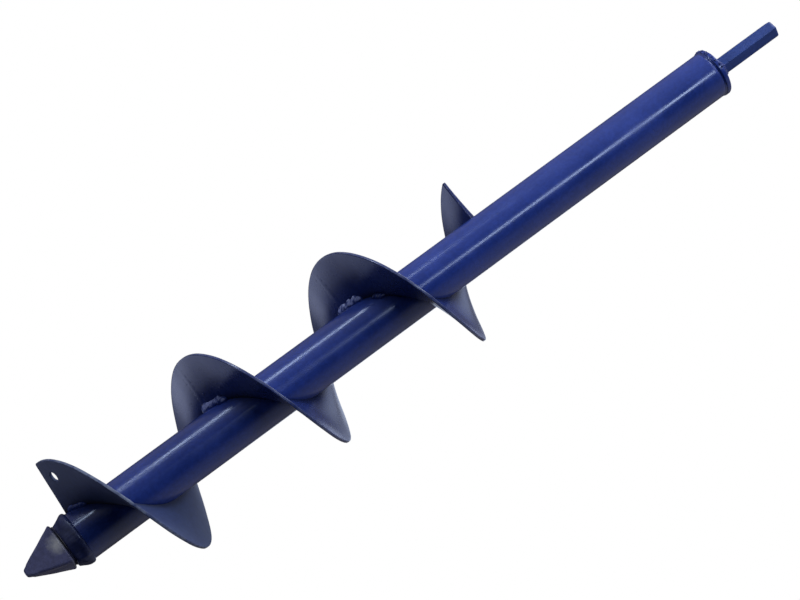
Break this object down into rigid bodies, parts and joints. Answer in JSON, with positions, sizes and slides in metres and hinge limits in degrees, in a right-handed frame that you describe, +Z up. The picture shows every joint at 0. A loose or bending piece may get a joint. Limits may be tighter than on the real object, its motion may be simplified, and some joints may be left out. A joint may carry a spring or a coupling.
{
  "type": "drill auger bit",
  "caption": "Welded steel screw auger: a tube with a helical flight, a square pyramid pilot point at the lower end and a hexagonal drive shank at the upper end.",
  "frame": {"origin": "the tip of the pilot point, on the axis, which is the bottom centre of the auger", "axes": "+Z up the axis from the pilot point to the drive shank; the screw is right-handed, so it climbs anticlockwise seen from above; the lower leading edge lies near -X"},
  "size_m": [0.101, 0.1009, 0.5904],
  "materials": {
    "tube_paint": "gloss dark blue spray paint over turned tube, slight orange peel",
    "flight_paint": "dark blue spray paint over rolled plate, semi-gloss, greyer where the coat is thin",
    "point_paint": "thin blue-grey paint over forged steel, satin, with pale worn patches",
    "weld_paint": "dark blue spray paint over rippled weld beads and spatter"
  },
  "bodies": {
    "root": {"centre_tube": "tube_paint", "drive_shank": "tube_paint", "end_plate": "tube_paint", "end_plate_weld": "weld_paint", "flight_joint_weld_1": "weld_paint", "flight_joint_weld_2": "weld_paint", "flight_section_1": "flight_paint", "flight_section_2": "flight_paint", "flight_section_3": "flight_paint", "pilot_point": "point_paint", "pilot_weld": "weld_paint", "root_weld_1_lower": "weld_paint", "root_weld_1_upper": "weld_paint", "root_weld_2_lower": "weld_paint", "root_weld_2_upper": "weld_paint", "root_weld_3_lower": "weld_paint", "root_weld_3_upper": "weld_paint", "root_weld_4_lower": "weld_paint", "root_weld_4_upper": "weld_paint", "root_weld_5_lower": "weld_paint", "shank_weld": "weld_paint"}
  },
  "joints": []
}
